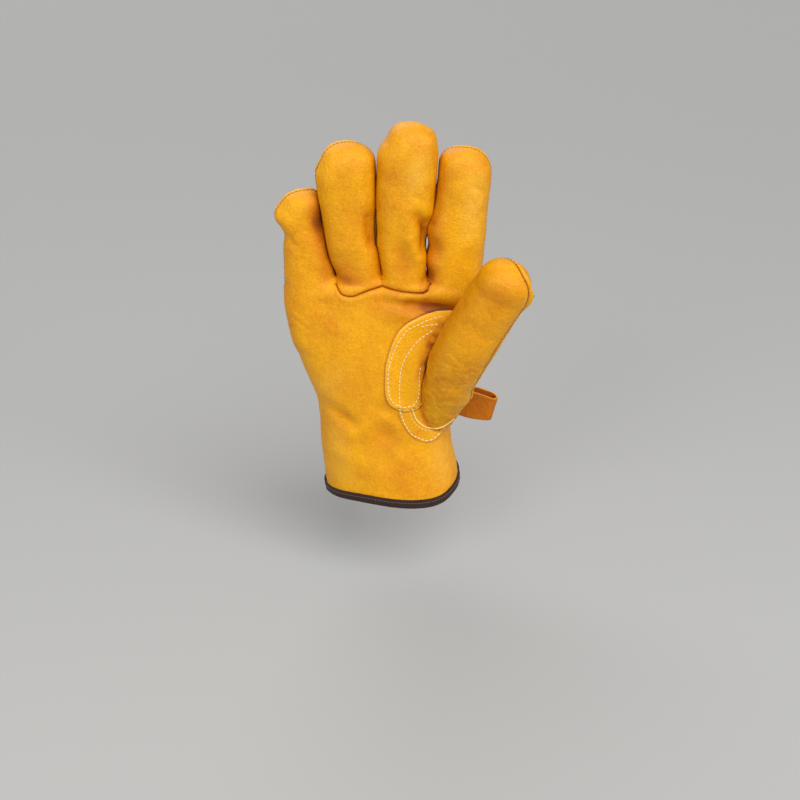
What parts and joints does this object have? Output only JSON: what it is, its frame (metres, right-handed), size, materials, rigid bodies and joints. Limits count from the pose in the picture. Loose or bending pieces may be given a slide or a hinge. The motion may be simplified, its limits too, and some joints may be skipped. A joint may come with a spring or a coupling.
{
  "type": "leather work glove",
  "caption": "Right-hand leather work glove, hollow, with a suede knuckle patch, gathered wrist, bound cuff and a wrist strap.",
  "frame": {"origin": "centre of the cuff's opening, in the plane of its rim, where the wrist goes in", "axes": "+Z from the wrist to the fingertips, -Y out of the palm, +X towards the thumb"},
  "size_m": [0.1449, 0.0859, 0.237],
  "materials": {
    "leather": "smooth grain, softly shining",
    "suede": "matt",
    "tape": "woven, matt",
    "hook_and_loop": "woven, matt"
  },
  "bodies": {
    "root": {"palm_leather": "leather", "back_leather": "leather", "ring_front": "leather", "middle_front": "leather", "gusset_pinky_ring": "leather", "gusset_ring_middle": "leather", "gusset_middle_index": "leather", "thumb_front": "leather", "thumb_back": "leather", "palm_patch": "suede", "knuckle_patch": "suede", "cuff_binding": "tape", "wrist_strap": "suede", "strap_binding": "tape", "closure_pad": "hook_and_loop", "hang_loop": "suede"}
  },
  "joints": []
}
